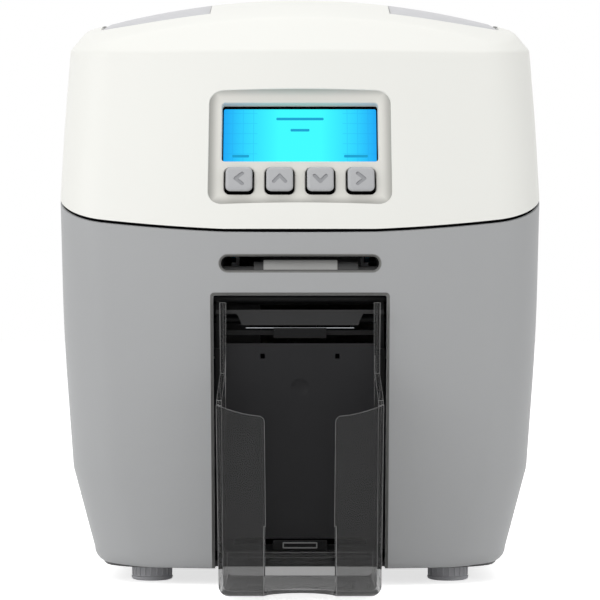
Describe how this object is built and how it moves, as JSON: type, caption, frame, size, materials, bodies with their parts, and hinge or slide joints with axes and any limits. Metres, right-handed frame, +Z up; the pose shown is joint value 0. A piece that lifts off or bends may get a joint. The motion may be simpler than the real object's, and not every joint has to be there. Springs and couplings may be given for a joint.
{
  "type": "id card printer",
  "caption": "Desktop ID card printer with a hinged white lid, sloped control panel, grey casing, hand feed slot, smoked card tray, sliding hopper door and roller drive inside.",
  "frame": {"origin": "middle of the underside of the feet, below the centre of the bounding box", "axes": "+Z up, -Y towards the user, where the control panel and the card tray are, +X to the right seen from the front"},
  "size_m": [0.204, 0.452, 0.2526],
  "materials": {
    "housing_grey": "fine moulded texture",
    "lid_white": "satin",
    "inlay_grey": "satin",
    "dark_plastic": "fine moulded texture",
    "smoked_plastic": "smoked clear",
    "bezel_grey": "moulded",
    "button_grey": "satin",
    "display": "lit display",
    "board_green": "solder resist",
    "rubber": "ground",
    "roller_grey": "ground",
    "steel": "ground",
    "zinc_plate": "zinc plated",
    "gear_nylon": "moulded",
    "brass": "turned",
    "motor_black": "black",
    "film": "dye film",
    "aluminium": "extruded",
    "frame_white": "moulded"
  },
  "bodies": {
    "chassis": {"base_tray": "dark_plastic", "lower_housing": "housing_grey", "rear_panel": "dark_plastic", "slot_trim": "dark_plastic", "entry_roller_bracket": "dark_plastic", "card_tray": "smoked_plastic", "hopper_latch": "dark_plastic", "card_magazine": "dark_plastic", "exit_bracket": "dark_plastic", "deck": "dark_plastic", "chassis_left": "zinc_plate", "chassis_right": "zinc_plate", "chassis_rods": "steel", "idler_axles": "steel", "feed_motor": "motor_black", "ribbon_film": "film", "main_board": "board_green", "power_supply": "zinc_plate", "power_inlet": "dark_plastic", "usb_socket": "zinc_plate", "ethernet_socket": "zinc_plate", "hinge_pins": "steel", "rubber_feet": "rubber", "foot_screws": "steel"},
    "lid": {"lid": "lid_white", "lid_inlay": "inlay_grey", "lid_inner_frame": "frame_white", "control_bezel": "bezel_grey", "lcd_glass": "display", "lcd_module": "dark_plastic", "control_board": "board_green", "printhead": "aluminium", "printhead_carrier": "dark_plastic", "heat_sink": "aluminium"},
    "button_left": {"button_left": "button_grey"},
    "button_up": {"button_up": "button_grey"},
    "button_down": {"button_down": "button_grey"},
    "button_right": {"button_right": "button_grey"},
    "hopper_door": {"hopper_door": "smoked_plastic"},
    "entry_roller": {"entry_roller": "roller_grey"},
    "pick_roller": {"pick_roller": "rubber"},
    "exit_roller": {"exit_roller": "rubber"},
    "platen": {"platen_roller": "rubber", "platen_gear": "gear_nylon"},
    "front_transport": {"front_transport_roller": "rubber", "front_transport_gear": "gear_nylon"},
    "rear_transport": {"rear_transport_roller": "rubber", "rear_transport_gear": "gear_nylon"},
    "front_idler": {"front_idler_gear": "gear_nylon"},
    "rear_idler": {"rear_idler_gear": "gear_nylon"},
    "motor_pinion": {"motor_pinion": "brass"},
    "supply_spool": {"supply_spool": "film"},
    "takeup_spool": {"takeup_spool": "film"}
  },
  "joints": [
    {"name": "lid_hinge", "type": "hinge", "parent": "chassis", "child": "lid", "pos_m": [0, 0.221, 0.1805], "axis": [-1, 0, 0], "range_deg": [0, 80]},
    {"name": "button_left_press", "type": "slide", "parent": "lid", "child": "button_left", "axis": [0, 0.9092, -0.4164], "range_m": [0, 0.0008], "stiffness_N_per_m": 600, "springref_m": -0.0004},
    {"name": "button_up_press", "type": "slide", "parent": "lid", "child": "button_up", "axis": [0, 0.9092, -0.4164], "range_m": [0, 0.0008], "stiffness_N_per_m": 600, "springref_m": -0.0004},
    {"name": "button_down_press", "type": "slide", "parent": "lid", "child": "button_down", "axis": [0, 0.9092, -0.4164], "range_m": [0, 0.0008], "stiffness_N_per_m": 600, "springref_m": -0.0004},
    {"name": "button_right_press", "type": "slide", "parent": "lid", "child": "button_right", "axis": [0, 0.9092, -0.4164], "range_m": [0, 0.0008], "stiffness_N_per_m": 600, "springref_m": -0.0004},
    {"name": "door_slide", "type": "slide", "parent": "chassis", "child": "hopper_door", "axis": [0, 0, 1], "range_m": [0, 0.026]},
    {"name": "platen_spin", "type": "hinge", "parent": "chassis", "child": "platen", "pos_m": [0, -0.013, 0.123], "axis": [1, 0, 0], "continuous": true},
    {"name": "front_transport_spin", "type": "hinge", "parent": "chassis", "child": "front_transport", "pos_m": [0, -0.05812, 0.123], "axis": [1, 0, 0], "continuous": true},
    {"name": "rear_transport_spin", "type": "hinge", "parent": "chassis", "child": "rear_transport", "pos_m": [0, 0.03212, 0.123], "axis": [1, 0, 0], "continuous": true},
    {"name": "front_idler_spin", "type": "hinge", "parent": "chassis", "child": "front_idler", "pos_m": [0, -0.03556, 0.123], "axis": [1, 0, 0], "continuous": true},
    {"name": "rear_idler_spin", "type": "hinge", "parent": "chassis", "child": "rear_idler", "pos_m": [0, 0.00956, 0.123], "axis": [1, 0, 0], "continuous": true},
    {"name": "motor_spin", "type": "hinge", "parent": "chassis", "child": "motor_pinion", "pos_m": [0, -0.03556, 0.10644], "axis": [1, 0, 0], "continuous": true},
    {"name": "entry_roller_spin", "type": "hinge", "parent": "chassis", "child": "entry_roller", "pos_m": [0, -0.1515, 0.1306], "axis": [1, 0, 0], "continuous": true},
    {"name": "pick_roller_spin", "type": "hinge", "parent": "chassis", "child": "pick_roller", "pos_m": [0, -0.115, 0.0128], "axis": [1, 0, 0], "continuous": true},
    {"name": "exit_roller_spin", "type": "hinge", "parent": "chassis", "child": "exit_roller", "pos_m": [0, -0.146, 0.11], "axis": [1, 0, 0], "continuous": true},
    {"name": "supply_spin", "type": "hinge", "parent": "chassis", "child": "supply_spool", "pos_m": [0, 0.039, 0.152], "axis": [1, 0, 0], "continuous": true},
    {"name": "takeup_spin", "type": "hinge", "parent": "chassis", "child": "takeup_spool", "pos_m": [0, -0.065, 0.152], "axis": [1, 0, 0], "continuous": true}
  ],
  "couplings": [
    {"joint": "front_idler_spin", "follows": "platen_spin", "ratio": -1.1429},
    {"joint": "rear_idler_spin", "follows": "platen_spin", "ratio": -1.1429},
    {"joint": "front_transport_spin", "follows": "platen_spin", "ratio": 1},
    {"joint": "rear_transport_spin", "follows": "platen_spin", "ratio": 1},
    {"joint": "motor_spin", "follows": "platen_spin", "ratio": 2}
  ]
}
